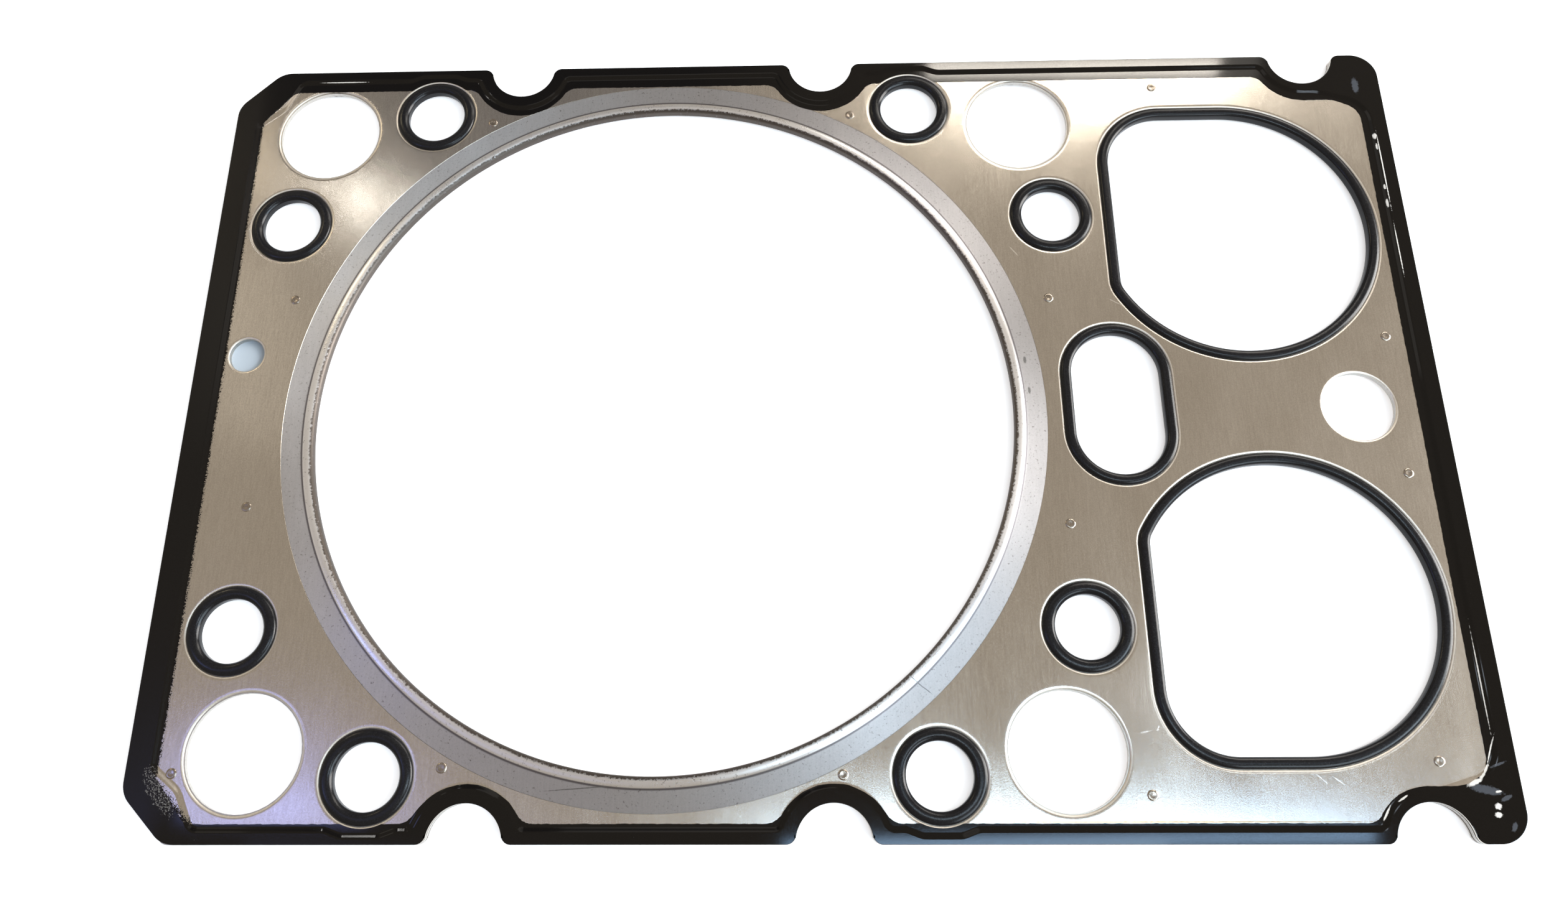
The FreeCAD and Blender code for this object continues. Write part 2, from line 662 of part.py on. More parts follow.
def fire_ring_wire():
    wire = doc.addObject("Part::Torus", "fire_ring_wire")
    wire.Label = "fire_ring_wire"
    wire.setExpression("Radius1", "Sizes.bore_radius + Sizes.roll_width / 2")
    wire.setExpression("Radius2", "Sizes.roll_width / 2 - Sizes.eyelet_wall - Sizes.wire_gap")


def ring_seal(label, along, across):
    """A rubber ring keyed on the carrier's edge, with a rounded lip above and below."""
    body = new_body(label)
    outer = size("ring_hole_radius") - size("seal_gap")
    inner = outer - size("seal_band")
    waist = outer - size("seal_key") - size("seal_gap")
    carrier = size("carrier_thickness") / 2
    shoulder = carrier + size("seal_lip")
    crest = carrier + size("cover_thickness") + size("seal_proud")
    ridge = (inner + outer) / 2
    edges = [
        Part.Arc(point(inner, shoulder), point(ridge, crest), point(outer, shoulder)),
        Part.LineSegment(point(outer, shoulder), point(outer, carrier)),
        Part.LineSegment(point(outer, carrier), point(waist, carrier)),
        Part.LineSegment(point(waist, carrier), point(waist, -carrier)),
        Part.LineSegment(point(waist, -carrier), point(outer, -carrier)),
        Part.LineSegment(point(outer, -carrier), point(outer, -shoulder)),
        Part.Arc(point(outer, -shoulder), point(ridge, -crest), point(inner, -shoulder)),
        Part.LineSegment(point(inner, -shoulder), point(inner, shoulder)),
    ]
    revolve(body, "Revolution", edges, "Ring")
    body.setExpression("Placement.Base.x", along)
    body.setExpression("Placement.Base.y", across)


def opening_seal(label, outline):
    """A rubber band inside an opening, keyed on the carrier's edge, with rounded lips."""
    body = new_body(label)
    outer = -size("seal_gap")
    inner = outer - size("seal_band_wide")
    waist = outer - size("seal_key") - size("seal_gap")
    band = loop_sketch(body, "Band", outline(outer) + outline(inner))
    crest = f"{COVER_TOP} + Sizes.seal_proud"
    made = pad(body, band, "BandPad", f"2 * ({crest})", midplane=True)
    lips = []
    for number, edge in enumerate(made.Shape.Edges, start=1):
        if edge.BoundBox.ZLength < SHORTEST:
            lips.append(f"Edge{number}")
    lip = body.newObject("PartDesign::Fillet", "Lips")
    lip.Base = (made, lips)
    lip.setExpression("Radius", "Sizes.seal_round")
    doc.recompute()
    key = loop_sketch(body, "Key", outline(outer + size("seal_key")) + outline(waist))
    groove = body.newObject("PartDesign::Pocket", "KeyGroove")
    groove.Profile = key
    groove.Midplane = True
    groove.setExpression("Length", "Sizes.carrier_thickness")
    doc.recompute()


def layer_rivets(carrier):
    """Small rivets that hold the cover sheets on the carrier, in the carrier's rivet holes."""
    holes = carrier.getObject("RivetCircles").Geometry
    stack = size("carrier_thickness") + 2 * size("cover_thickness")
    head = size("rivet_head_height")
    low = -stack / 2 - head
    pieces = []
    for hole in holes:
        axis = hole.Center
        rivet = Part.makeCylinder(size("rivet_radius"), stack, axis + up * (low + head))
        for foot in (low, low + head + stack):
            button = Part.makeCylinder(size("rivet_head_radius"), head, axis + up * foot)
            rivet = rivet.fuse(button)
        pieces.append(rivet.removeSplitter())
    rivets = doc.addObject("Part::Feature", "layer_rivets")
    rivets.Label = "layer_rivets"
    rivets.Shape = Part.makeCompound(pieces)


carrier = carrier_plate()
top_sheet = cover_sheet("top_cover_sheet", "")
cut_oil_hole(top_sheet)
cover_sheet("bottom_cover_sheet", "-")
edge_coating("top_edge_coating", "")
edge_coating("bottom_edge_coating", "-")
fire_ring()
fire_ring_wire()
for across_sign, front in (("-", "lower"), ("", "upper")):
    for along_sign, end in (("-", "left"), ("", "right")):
        near_place = (f"{along_sign}Layout.near_ring_along", f"{across_sign}Layout.near_ring_across")
        far_place = (f"{along_sign}Layout.far_ring_along", f"{across_sign}Layout.far_ring_across")
        ring_seal(f"{front}_{end}_edge_ring_seal", *near_place)
        ring_seal(f"{front}_{end}_ring_seal", *far_place)
opening_seal("slot_seal", slot_edges)
opening_seal("upper_window_seal", lambda shift: window_edges(1, shift))
opening_seal("lower_window_seal", lambda shift: window_edges(-1, shift))
layer_rivets(carrier)
doc.recompute()

for thing in doc.Objects:
    if "Invalid" in thing.State or "Error" in thing.State:
        raise ValueError(f"{thing.Label} did not compute")

parts = [thing for thing in doc.Objects if thing.TypeId == "PartDesign::Body"]
parts += [doc.getObject("fire_ring_wire"), doc.getObject("layer_rivets")]
for part in parts:
    if part.Shape.isNull() or not part.Shape.isValid():
        raise ValueError(f"{part.Label} has no sound shape")
    part.Shape.exportStep(f"parts/{part.Label}.step")
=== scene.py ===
import math
import random

import bmesh
import bpy
from mathutils import Matrix, Vector


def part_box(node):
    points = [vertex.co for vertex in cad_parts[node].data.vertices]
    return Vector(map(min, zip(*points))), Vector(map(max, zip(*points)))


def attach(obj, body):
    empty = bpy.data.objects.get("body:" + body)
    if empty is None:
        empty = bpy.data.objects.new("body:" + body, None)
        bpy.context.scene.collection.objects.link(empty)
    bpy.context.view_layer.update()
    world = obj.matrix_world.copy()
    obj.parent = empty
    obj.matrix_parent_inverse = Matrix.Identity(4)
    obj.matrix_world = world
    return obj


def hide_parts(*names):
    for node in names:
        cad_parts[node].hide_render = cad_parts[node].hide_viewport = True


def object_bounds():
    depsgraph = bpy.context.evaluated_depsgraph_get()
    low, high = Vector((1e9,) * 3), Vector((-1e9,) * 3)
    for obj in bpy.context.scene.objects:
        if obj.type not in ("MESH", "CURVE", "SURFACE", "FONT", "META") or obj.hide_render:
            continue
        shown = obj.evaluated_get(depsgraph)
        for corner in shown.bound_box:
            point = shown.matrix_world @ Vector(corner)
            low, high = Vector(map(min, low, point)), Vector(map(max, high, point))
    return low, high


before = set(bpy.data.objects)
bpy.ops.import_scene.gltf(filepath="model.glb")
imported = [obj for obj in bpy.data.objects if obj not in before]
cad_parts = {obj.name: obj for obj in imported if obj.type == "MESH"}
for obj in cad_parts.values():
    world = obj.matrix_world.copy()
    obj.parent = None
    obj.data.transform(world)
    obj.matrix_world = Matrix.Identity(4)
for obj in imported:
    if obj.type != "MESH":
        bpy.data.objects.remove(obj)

# The gasket lies flat, its bore's axis at the origin. Lengths here are millimetres until a
# vertex is made, and MM turns them into the frame's metres.
MM = 0.001
cad_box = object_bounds()

# Heights above the middle of the carrier plate.
COVER_TOP = 0.65
COVER_SHEET = 0.25
BEAD_RISE = 0.25
BORDER_TOP = COVER_TOP + BEAD_RISE
COATING = 0.06

# The outline and its openings.
LEFT, RIGHT, HALF_WIDTH = -88.0, 140.75, 74.65
NOTCH_LINE, NOTCH_RADIUS = 74.5, 6.3
NOTCHES = (-30.4, 30.0, 125.9)
FLANGE_OPENING = 69.9
BOLT = (68.7, 60.1)
BOLT_HOLE = 10.05
RING_HOLE = 7.85
SIDE_HOLE = (125.8, -0.25)
SIDE_HOLE_RADIUS = 6.5
OIL_HOLE = (-78.7, 12.2)
OIL_HOLE_RADIUS = 3.3

# Radii on the fire ring: the top of its roll, and where the roll meets the flange.
ROLL_CREST, ROLL_FOOT = 65.3, 66.08

# Ring seals, and how far across those lie that stand in the printed border.
RING_SEALS = [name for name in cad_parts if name.endswith("_ring_seal")]
EDGE_SEALS_FROM = 50.0
NEAR_RING = 47.5


def middle_of(node):
    """Centre of a CAD node's box, along and across, in millimetres."""
    low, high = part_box(node)
    return (low[0] + high[0]) / 2 / MM, (low[1] + high[1]) / 2 / MM


# Outlines are closed lists of points, clockwise, so that moving one out keeps its point count.


def unit(start, end):
    dx, dy = end[0] - start[0], end[1] - start[1]
    length = math.hypot(dx, dy)
    return dx / length, dy / length


def corner_steps(turn):
    return max(3, round(abs(math.degrees(turn)) / 5))


def rounded(corners, shift=0.0, most=3.0):
    """Points round a chain of corners (x, y, radius), moved outwards by shift."""
    arcs = []
    for index, here in enumerate(corners):
        into = unit(corners[index - 1], here)
        out = unit(here, corners[(index + 1) % len(corners)])
        turn = math.atan2(into[0] * out[1] - into[1] * out[0], into[0] * out[0] + into[1] * out[1])
        scale = shift / (1 + math.cos(turn))
        x = here[0] - scale * (into[1] + out[1])
        y = here[1] + scale * (into[0] + out[0])
        radius = here[2] + shift if turn < 0 else here[2] - shift
        side = -1 if turn < 0 else 1
        reach = radius * math.tan(abs(turn) / 2)
        start = (x - into[0] * reach, y - into[1] * reach)
        centre = (start[0] - side * into[1] * radius, start[1] + side * into[0] * radius)
        steps = corner_steps(turn)
        first = math.atan2(start[1] - centre[1], start[0] - centre[0])
        arcs.append(
            [
                (
                    centre[0] + radius * math.cos(first + turn * step / steps),
                    centre[1] + radius * math.sin(first + turn * step / steps),
                )
                for step in range(steps + 1)
            ]
        )
    points = []
    for index, arc in enumerate(arcs):
        last = arcs[index - 1][-1]
        straight = math.dist(last, arc[0])
        cuts = max(1, round(straight / most))
        for cut in range(1, cuts):
            share = cut / cuts
            points.append(
                (last[0] + (arc[0][0] - last[0]) * share, last[1] + (arc[0][1] - last[1]) * share)
            )
        points += arc if straight > 0.01 else arc[1:]
    return points


def circle(centre, radius, count=96):
    turns = [-2 * math.pi * step / count for step in range(count)]
    return [
        (centre[0] + radius * math.cos(turn), centre[1] + radius * math.sin(turn))
        for turn in turns
    ]


def mirrored(half):
    return half + [(x, -y, radius) for x, y, radius in reversed(half)]


def notch_dip(along, radius, level, mouth, lean):
    """Corners of a path's dip round a notch, from the left."""
    angle = math.radians(lean)
    side = radius / math.cos(angle) - (NOTCH_LINE - level) * math.tan(angle)
    foot = radius / math.cos(angle) - radius * math.tan(angle)
    left = [(along - side, level, mouth), (along - foot, NOTCH_LINE - radius, radius)]
    right = [(along + foot, NOTCH_LINE - radius, radius), (along + side, level, mouth)]
    return left, right


def plate_corners():
    """The gasket's outer edge. A half-round notch is a square dip whose corners meet."""
    cut = 8.0
    half = [(LEFT, HALF_WIDTH - cut, 4.8), (LEFT + cut, HALF_WIDTH, 4.8)]
    for along in NOTCHES:
        left, right = notch_dip(along, NOTCH_RADIUS, HALF_WIDTH, 1.7, 8)
        half += left + right
    return mirrored(half + [(RIGHT, HALF_WIDTH, 5.0)])


def plate_outline(shift):
    return rounded(plate_corners(), shift)


def ring_jog(along, level):
    """Corners where the bead steps out round a ring seal."""
    foot, top, raised = 5.9, 3.2, level + 1.0
    places = [(-foot, level), (-top, raised), (top, raised), (foot, level)]
    return [(along + x, y, 3.0) for x, y in places]


def bead_corners():
    """Middle of the stamped half-bead."""
    level = HALF_WIDTH - 2.35
    wide, narrow = NOTCH_RADIUS + 2.7, NOTCH_RADIUS + 1.9
    half = [
        (LEFT + 4.6, BOLT[1] + 2.3, 1.5),
        (-BOLT[0] - 10.0, BOLT[1] + 6.0, 5.0),
        (-BOLT[0] - 6.95, level, 2.0),
    ]
    first = notch_dip(NOTCHES[0], wide, level, 1.5, 25)
    second = notch_dip(NOTCHES[1], wide, level, 1.5, 25)
    third = notch_dip(NOTCHES[2], narrow, level, 1.5, 25)
    half += ring_jog(-NEAR_RING, level) + first[0] + first[1]
    half += second[0] + second[1] + ring_jog(NEAR_RING, level) + third[0]
    half.append((NOTCHES[2] + 2.2, NOTCH_LINE - narrow, 8.0))
    half.append((RIGHT - 3.1, NOTCH_LINE - narrow - 2.9, 5.5))
    return mirrored(half)


def print_corners():
    """Inner edge of the printed rubber, which sits a little too far down the plate."""
    slip = -0.65
    level = HALF_WIDTH - 3.9
    wide, narrow = NOTCH_RADIUS + 3.7, NOTCH_RADIUS + 3.1
    half = [(LEFT + 5.2, BOLT[1] + 3.2, 1.0), (-BOLT[0] - 8.0, level, 2.0)]
    for along in NOTCHES[:2]:
        left, right = notch_dip(along, wide, level, 3.0, 35)
        half += left + right
    half += notch_dip(NOTCHES[2], narrow, level, 3.0, 35)[0]
    half.append((NOTCHES[2] + 5.5, NOTCH_LINE - narrow, 6.0))
    half.append((RIGHT - 4.65, NOTCH_LINE - narrow - 2.2, 4.0))
    return [(x, y + slip, radius) for x, y, radius in mirrored(half)]


def arc_points(centre, radius, first, last, steps):
    return [
        (
            centre[0] + radius * math.cos(first + (last - first) * step / steps),
            centre[1] + radius * math.sin(first + (last - first) * step / steps),
        )
        for step in range(steps + 1)
    ]


def slot_points(shift):
    """The long slot between the windows, clockwise from its left side."""
    x, radius = 82.95, 10.1 + shift
    top, low = 6.55, -4.55
    cuts = 6
    fall = (top - low) / cuts
    points = arc_points((x, top), radius, math.pi, 0, 40)
    points += [(x + radius, top - fall * step) for step in range(1, cuts)]
    points += arc_points((x, low), radius, 0, -math.pi, 40)
    return points + [(x - radius, low + fall * step) for step in range(1, cuts)]


def window_points(side, shift):
    """The D-shaped window, clockwise for the upper one and turned over for the lower."""
    x, y = 108.1, 36.0
    big, corner, blend = 27.15 + shift, 13.0 + shift, 6.0 + shift
    straight = 83.75 - shift
    far = y + big
    blend_x = straight + blend
    blend_y = y - math.sqrt((big - blend) ** 2 - (x - blend_x) ** 2)
    joint = math.atan2(blend_y - y, blend_x - x)
    points = arc_points((straight + corner, far - corner), corner, math.pi, math.pi / 2, 24)
    run = x - straight - corner
    points += [(straight + corner + run * step / 5, far) for step in range(1, 5)]
    points += arc_points((x, y), big, math.pi / 2, joint, 96)
    points += arc_points((blend_x, blend_y), blend, joint, -math.pi, 12)[1:]
    rise = far - corner - blend_y
    points += [(straight, blend_y + rise * step / 10) for step in range(1, 10)]
    if side > 0:
        return points
    return [(px, -py) for px, py in reversed(points)]


# Mesh building.


def loop(bm, points, height):
    """A closed ring of edges through the points, at one height."""
    verts = [bm.verts.new((x * MM, y * MM, height * MM)) for x, y in points]
    return [bm.edges.new(pair) for pair in zip(verts, verts[1:] + verts[:1])]


def swept(bm, outline, section):
    """A ring of edges along an outline for each (distance outwards, height) of a section."""
    return [loop(bm, outline(shift), height) for shift, height in section]


def skin(bm, rings):
    """Join each ring of edges to the next."""
    for one, other in zip(rings, rings[1:]):
        bmesh.ops.bridge_loops(bm, edges=one + other)


def flat_fill(bm, rings):
    """Fill the flat face that the rings of edges bound."""
    edges = [edge for ring in rings for edge in ring]
    bmesh.ops.triangle_fill(bm, use_beauty=True, use_dissolve=False, edges=edges, normal=(0, 0, 1))


def face_outwards(bm):
    """Merge doubled points and turn every face of a closed form outwards."""
    bmesh.ops.remove_doubles(bm, verts=bm.verts, dist=1e-7)
    bmesh.ops.recalc_face_normals(bm, faces=bm.faces)
    if bm.calc_volume(signed=True) < 0:
        bmesh.ops.reverse_faces(bm, faces=bm.faces)


def finish_piece(bm, name, node, material, sharp=40):
    """Turn a bmesh into a piece that stands for a CAD node."""
    face_outwards(bm)
    mesh = bpy.data.meshes.new(name)
    bm.to_mesh(mesh)
    bm.free()
    mesh.polygons.foreach_set("use_smooth", [True] * len(mesh.polygons))
    mesh.set_sharp_from_angle(angle=math.radians(sharp))
    piece = bpy.data.objects.new(name, mesh)
    bpy.context.scene.collection.objects.link(piece)
    mesh.materials.append(material)
    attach(piece, "root")
    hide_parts(node)
    return piece


def turned(section, count):
    """A bmesh of a closed section (radius, height) turned round the Z axis."""
    bm = bmesh.new()
    verts = [bm.verts.new((r * MM, 0, z * MM)) for r, z in section]
    edges = [bm.edges.new(pair) for pair in zip(verts, verts[1:] + verts[:1])]
    bmesh.ops.spin(
        bm, geom=verts + edges, cent=(0, 0, 0), axis=(0, 0, 1), angle=2 * math.pi,
        steps=count, use_merge=True,
    )
    return bm


def cut_with(name, target, cutters):
    """Take the cutters out of a bmesh and give back the mesh that is left."""
    objects = []
    for number, source in enumerate([target] + cutters):
        face_outwards(source)
        mesh = bpy.data.meshes.new(f"{name}_blank_{number}")
        source.to_mesh(mesh)
        source.free()
        blank = bpy.data.objects.new(f"{name}_blank_{number}", mesh)
        bpy.context.scene.collection.objects.link(blank)
        objects.append(blank)
    for cutter in objects[1:]:
        step = objects[0].modifiers.new("cut", "BOOLEAN")
        step.operation = "DIFFERENCE"
        step.solver = "EXACT"
        step.object = cutter
    view = bpy.context.evaluated_depsgraph_get()
    mesh = bpy.data.meshes.new_from_object(objects[0].evaluated_get(view))
    for blank in objects:
        bpy.data.objects.remove(blank)
    left = bmesh.new()
    left.from_mesh(mesh)
    bpy.data.meshes.remove(mesh)
    return left


# Finishes. Groups put out masks and values; each finish keeps its own shader.


def new_group(name, inputs, outputs):
    group = bpy.data.node_groups.new(name, "ShaderNodeTree")
    for label, kind, value in inputs:
        socket = group.interface.new_socket(label, in_out="INPUT", socket_type=kind)
        if value is not None:
            socket.default_value = value
    for label, kind in outputs:
        group.interface.new_socket(label, in_out="OUTPUT", socket_type=kind)
    return group, group.nodes.new("NodeGroupInput"), group.nodes.new("NodeGroupOutput")


def noise(nodes, links, vector, scale, detail=3.0, rough=0.55):
    """Noise with a different number of cells per metre along each axis."""
    mapping = nodes.new("ShaderNodeMapping")
    mapping.inputs["Scale"].default_value = scale
    links.new(vector, mapping.inputs["Vector"])
    made = nodes.new("ShaderNodeTexNoise")
    made.inputs["Scale"].default_value = 1.0
    made.inputs["Detail"].default_value = detail
    made.inputs["Roughness"].default_value = rough
    links.new(mapping.outputs["Vector"], made.inputs["Vector"])
    return made.outputs["Fac"]


def remap(nodes, links, value, low, high, to_low=0.0, to_high=1.0):
    made = nodes.new("ShaderNodeMapRange")
    made.inputs["From Min"].default_value = low
    made.inputs["From Max"].default_value = high
    made.inputs["To Min"].default_value = to_low
    made.inputs["To Max"].default_value = to_high
    links.new(value, made.inputs["Value"])
    return made.outputs["Result"]


def mixed(nodes, links, factor, one, other):
    made = nodes.new("ShaderNodeMix")
    made.data_type = "RGBA"
    links.new(factor, made.inputs["Factor"])
    made.inputs["A"].default_value = (*one, 1)
    made.inputs["B"].default_value = (*other, 1)
    return made.outputs["Result"]


def sums(nodes, links, operation, one, other):
    """One step of arithmetic on a value, with another value or a plain number."""
    made = nodes.new("ShaderNodeMath")
    made.operation = operation
    links.new(one, made.inputs[0])
    if isinstance(other, (int, float)):
        made.inputs[1].default_value = other
    else:
        links.new(other, made.inputs[1])
    return made.outputs["Value"]


def rolling_marks():
    """Grain, short streaks and soft blotches that rolling leaves in sheet steel, along Y."""
    group, given, made = new_group(
        "rolling_marks",
        [("Place", "NodeSocketVector", None)],
        [("Streak", "NodeSocketFloat"), ("Blotch", "NodeSocketFloat")],
    )
    nodes, links = group.nodes, group.links
    place = given.outputs["Place"]
    streak = noise(nodes, links, place, (3600, 320, 900), 4.0, 0.65)
    grain = noise(nodes, links, place, (5000, 4200, 4200), 2.0, 0.5)
    both = sums(nodes, links, "MULTIPLY", sums(nodes, links, "ADD", streak, grain), 0.5)
    links.new(both, made.inputs["Streak"])
    links.new(noise(nodes, links, place, (110, 45, 50), 3.0, 0.5), made.inputs["Blotch"])
    return group


def scuff_and_highlight_mark():
    """A long mark with a broken edge, wherever it is put, for scuffs and painted highlights alike.
    """
    group, given, made = new_group(
        "scuff_and_highlight_mark",
        [
            ("Place", "NodeSocketVector", None),
            ("Centre", "NodeSocketVector", None),
            ("Turn", "NodeSocketVector", None),
            ("Reach", "NodeSocketVector", None),
        ],
        [("Mask", "NodeSocketFloat")],
    )
    nodes, links = group.nodes, group.links
    place = given.outputs["Place"]
    around = nodes.new("ShaderNodeMapping")
    around.vector_type = "TEXTURE"
    links.new(place, around.inputs["Vector"])
    links.new(given.outputs["Centre"], around.inputs["Location"])
    links.new(given.outputs["Turn"], around.inputs["Rotation"])
    links.new(given.outputs["Reach"], around.inputs["Scale"])
    far = nodes.new("ShaderNodeVectorMath")
    far.operation = "LENGTH"
    links.new(around.outputs["Vector"], far.inputs[0])
    ragged = noise(nodes, links, place, (2600, 2600, 2600), 3.0, 0.6)
    edge = sums(nodes, links, "ADD", far.outputs["Value"], ragged)
    links.new(remap(nodes, links, edge, 1.5, 1.2), made.inputs["Mask"])
    return group


def scuff_and_highlight_places(nodes, links, place, marks):
    """One mask of several scuffs and painted highlights on the upper face, each (x, y, half length,
    half width, turn).
    """
    total = None
    for x, y, length, width, turn in marks:
        mark = nodes.new("ShaderNodeGroup")
        mark.node_tree = SCUFF_AND_HIGHLIGHT_GROUP
        links.new(place, mark.inputs["Place"])
        mark.inputs["Centre"].default_value = (x * MM, y * MM, MARK_HEIGHT * MM)
        mark.inputs["Turn"].default_value = (0, 0, math.radians(turn))
        mark.inputs["Reach"].default_value = (length * MM, width * MM, MARK_DEPTH * MM)
        mask = mark.outputs["Mask"]
        total = mask if total is None else sums(nodes, links, "MAXIMUM", total, mask)
    return total


def distance_along(nodes, links, place, direction):
    """How far a place lies along a direction."""
    made = nodes.new("ShaderNodeVectorMath")
    made.operation = "DOT_PRODUCT"
    links.new(place, made.inputs[0])
    made.inputs[1].default_value = direction
    return made.outputs["Value"]


def from_axis(nodes, links, place):
    """Distance from the bore's axis."""
    flat = nodes.new("ShaderNodeVectorMath")
    flat.operation = "MULTIPLY"
    links.new(place, flat.inputs[0])
    flat.inputs[1].default_value = (1, 1, 0)
    made = nodes.new("ShaderNodeVectorMath")
    made.operation = "LENGTH"
    links.new(flat.outputs["Vector"], made.inputs[0])
    return made.outputs["Value"]


def painted(nodes, links, socket, mask, colour):
    """Lay a colour over what already feeds a colour socket, where the mask is full."""
    under = socket.links[0].from_socket
    made = nodes.new("ShaderNodeMix")
    made.data_type = "RGBA"
    links.new(mask, made.inputs["Factor"])
    links.new(under, made.inputs["A"])
    made.inputs["B"].default_value = (*colour, 1)
    links.new(made.outputs["Result"], socket)


def roughened(nodes, links, shader, mask, amount):
    """Add to a shader's roughness where the mask is full."""
    socket = shader.inputs["Roughness"]
    more = sums(nodes, links, "MULTIPLY", mask, amount)
    links.new(sums(nodes, links, "ADD", socket.links[0].from_socket, more), socket)


def new_finish(name):
    material = bpy.data.materials.new(name)
    material.use_nodes = True
    nodes, links = material.node_tree.nodes, material.node_tree.links
    shader = nodes["Principled BSDF"]
    place = nodes.new("ShaderNodeTexCoord").outputs["Object"]
    return material, nodes, links, shader, place


def opened(material):
    """What is needed to add to a finish: its nodes, links, shader and places on the part."""
    nodes, links = material.node_tree.nodes, material.node_tree.links
    place = nodes["Texture Coordinate"].outputs["Object"]
    return nodes, links, nodes["Principled BSDF"], place


def bump(nodes, links, shader, height, strength, distance):
    made = nodes.new("ShaderNodeBump")
    made.inputs["Strength"].default_value = strength
    made.inputs["Distance"].default_value = distance
    links.new(height, made.inputs["Height"])
    links.new(made.outputs["Normal"], shader.inputs["Normal"])


def sheet_steel(name, dark, light, rough_low, rough_high, relief):
    material, nodes, links, shader, place = new_finish(name)
    marks = nodes.new("ShaderNodeGroup")
    marks.node_tree = ROLLING
    links.new(place, marks.inputs["Place"])
    shader.inputs["Metallic"].default_value = 1.0
    streak = remap(nodes, links, marks.outputs["Streak"], 0.3, 0.7)
    links.new(mixed(nodes, links, streak, dark, light), shader.inputs["Base Color"])
    rough = remap(nodes, links, marks.outputs["Blotch"], 0.3, 0.7, rough_low, rough_high)
    links.new(rough, shader.inputs["Roughness"])
    bump(nodes, links, shader, marks.outputs["Streak"], relief, 0.00002)
    return material


def spread_shine(material, amount, direction):
    """Stretch the shine of a steel along a direction on its surface."""
    links, shader = opened(material)[1:3]
    shader.inputs["Anisotropic"].default_value = amount
    links.new(direction, shader.inputs["Tangent"])
    return material


def rolled_steel(name, dark, light, rough_low, rough_high, relief):
    """Sheet steel rolled along Y, whose shine spreads across the rolling."""
    material = sheet_steel(name, dark, light, rough_low, rough_high, relief)
    across = material.node_tree.nodes.new("ShaderNodeCombineXYZ")
    across.inputs["X"].default_value = 1.0
    return spread_shine(material, 0.5, across.outputs["Vector"])


def mark_cover(material):
    """Scratches, a painted golden highlight by the near edge, specks of print and the oil hole's
    bare floor.
    """
    nodes, links, shader, place = opened(material)
    colour = shader.inputs["Base Color"]
    scratches = scuff_and_highlight_places(nodes, links, place, SHEET_SCRATCHES)
    painted(nodes, links, colour, scratches, (0.95, 0.93, 0.9))
    # Painted highlight: a golden line where the raised edge of the print by the near edge catches
    # light.
    golden = scuff_and_highlight_places(nodes, links, place, GOLDEN_EDGE_HIGHLIGHTS)
    painted(nodes, links, colour, golden, (0.50, 0.34, 0.18))
    speckle_cover(nodes, links, shader, place)
    roughen_rims(nodes, links, shader, place)
    bare_floor(nodes, links, shader, place)


def speckle_cover(nodes, links, shader, place):
    """Specks of rubber on the steel, thicker by the left print and its lower corner."""
    leftwards = distance_along(nodes, links, place, (-1, 0, 0))
    side = remap(nodes, links, leftwards, 81.8 * MM, 82.8 * MM)
    cornerwards = distance_along(nodes, links, place, (-1, -1, 0))
    corner = remap(nodes, links, cornerwards, 145.2 * MM, 147.4 * MM)
    near = sums(nodes, links, "MAXIMUM", side, corner)
    speck = noise(nodes, links, place, (5200, 5200, 5200), 3.0, 0.6)
    dark = sums(nodes, links, "ADD", speck, sums(nodes, links, "MULTIPLY", near, 0.42))
    spray = remap(nodes, links, dark, 0.80, 0.86)
    painted(nodes, links, shader.inputs["Base Color"], spray, (0.012, 0.010, 0.009))
    roughened(nodes, links, shader, spray, 0.3)


def roughen_rims(nodes, links, shader, place):
    """The rolled edges of the holes are duller than the flat sheet."""
    up = distance_along(nodes, links, place, (0, 0, 1))
    height = sums(nodes, links, "ABSOLUTE", up, 0)
    below = remap(nodes, links, height, (COVER_TOP - 0.002) * MM, (COVER_TOP - 0.02) * MM)
    roughened(nodes, links, shader, below, 0.25)


def bare_floor(nodes, links, shader, place):
    """The pale lower sheet at the bottom of the oil hole."""
    floor = nodes.new("ShaderNodeGroup")
    floor.node_tree = SCUFF_AND_HIGHLIGHT_GROUP
    links.new(place, floor.inputs["Place"])
    floor.inputs["Centre"].default_value = (OIL_HOLE[0] * MM, OIL_HOLE[1] * MM, -0.4 * MM)
    floor.inputs["Reach"].default_value = (5 * MM, 5 * MM, 0.3 * MM)
    mask = floor.outputs["Mask"]
    painted(nodes, links, shader.inputs["Base Color"], mask, (0.50, 0.56, 0.62))
    roughened(nodes, links, shader, mask, 0.4)


def turned_steel(name, dark, light):
    """Ring steel finished on a lathe, so its shine spreads across the ring."""
    material = sheet_steel(name, dark, light, 0.40, 0.48, 0.1)
    around = material.node_tree.nodes.new("ShaderNodeTangent")
    around.direction_type = "RADIAL"
    around.axis = "Z"
    material.node_tree.nodes["Principled BSDF"].inputs["Anisotropic Rotation"].default_value = 0.25
    return spread_shine(material, 0.8, around.outputs["Tangent"])


def off_radius(nodes, links, radius, middle):
    """How far a distance from the bore's axis is from a radius in millimetres."""
    return sums(nodes, links, "ABSOLUTE", sums(nodes, links, "SUBTRACT", radius, middle * MM), 0)


